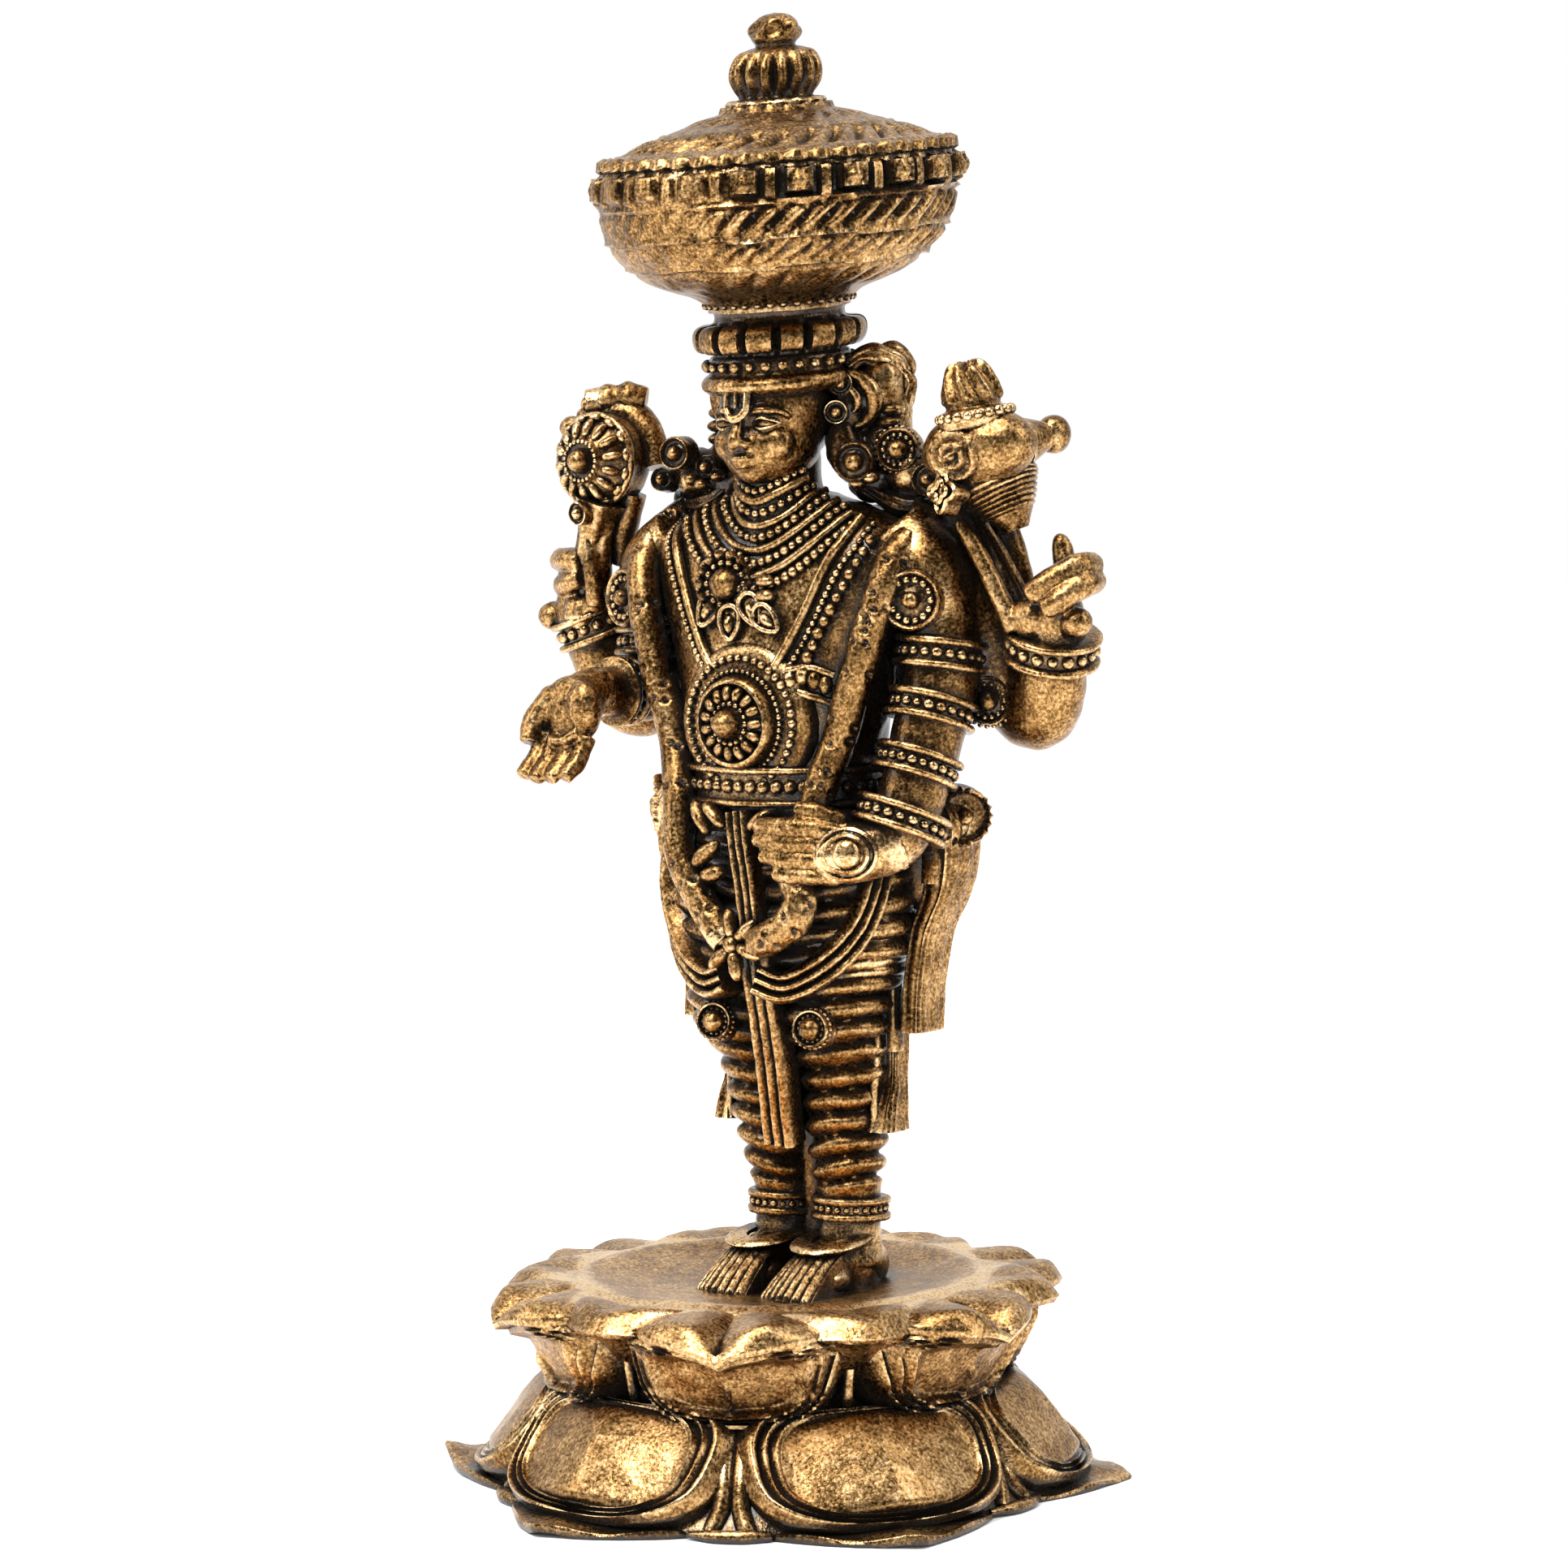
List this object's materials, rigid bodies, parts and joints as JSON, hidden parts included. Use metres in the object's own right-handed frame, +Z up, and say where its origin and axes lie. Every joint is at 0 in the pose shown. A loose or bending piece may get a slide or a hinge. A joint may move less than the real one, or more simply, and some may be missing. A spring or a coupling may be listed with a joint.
{
  "type": "venkateswara statue",
  "caption": "Small cast brass statue of a standing four-armed deity with a broad domed crown, holding a disc and a conch, on a double lotus base.",
  "frame": {"origin": "middle of the underside of the lotus base", "axes": "+Z up along the figure, -Y the way the figure faces, +X towards the figure's left hand, which holds the conch"},
  "size_m": [0.0334, 0.0348, 0.0724],
  "materials": {
    "cast_brass": "antique cast brass, dark in the hollows, rubbed bright on the high spots, fine sandy grain"
  },
  "bodies": {
    "root": {"statue": "cast_brass"}
  },
  "joints": []
}
